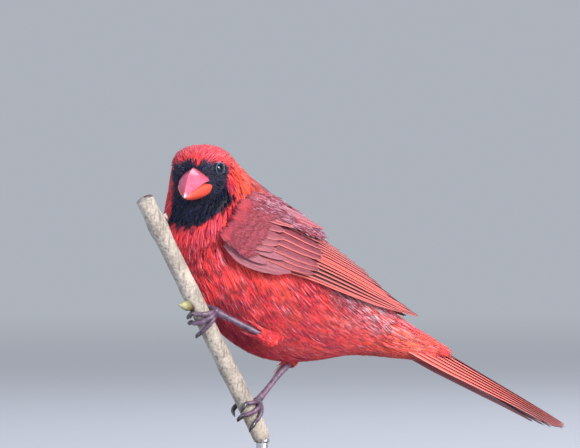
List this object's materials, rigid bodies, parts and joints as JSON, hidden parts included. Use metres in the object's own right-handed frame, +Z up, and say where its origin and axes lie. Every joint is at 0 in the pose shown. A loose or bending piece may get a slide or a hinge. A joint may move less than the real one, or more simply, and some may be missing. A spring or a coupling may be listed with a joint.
{
  "type": "perched songbird model",
  "caption": "Still model of a crested, thick-billed songbird gripping a slanting cut stem, on a round display base with one short rod.",
  "frame": {"origin": "centre of the underside of the stand's round base", "axes": "+Z up, -Z into the surface the stand is on. -X is the way the bird's body faces and +X its tail; +Y is its right side and -Y its left"},
  "size_m": [0.1917, 0.092, 0.14],
  "materials": {
    "red_plumage": "soft overlapping feathers, bright red, near black round the bill",
    "flight_plumage": "smooth vanes, dull rose red with dark edges",
    "bill_horn": "smooth horn with a soft shine",
    "eye": "wet shine",
    "leg_skin": "fine scales, dull",
    "claw_horn": "smooth dark horn",
    "bark": "smooth pale bark with small pores and buds",
    "stand_wood": "dark stained and waxed",
    "stand_steel": "brushed"
  },
  "bodies": {
    "root": {"torso": "red_plumage", "neck": "red_plumage", "head": "red_plumage", "thigh_left": "red_plumage", "thigh_right": "red_plumage", "wing_left": "flight_plumage", "wing_right": "flight_plumage", "tail": "flight_plumage", "bill_upper": "bill_horn", "bill_lower": "bill_horn", "eye_left": "eye", "eye_right": "eye", "tarsus_left": "leg_skin", "tarsus_right": "leg_skin", "foot_left": "leg_skin", "foot_right": "leg_skin", "claw_left_inner": "claw_horn", "claw_left_middle": "claw_horn", "claw_left_outer": "claw_horn", "claw_left_hind": "claw_horn", "claw_right_inner": "claw_horn", "claw_right_middle": "claw_horn", "claw_right_outer": "claw_horn", "claw_right_hind": "claw_horn", "perch": "bark", "stand_base": "stand_wood", "stand_rod": "stand_steel"}
  },
  "joints": []
}
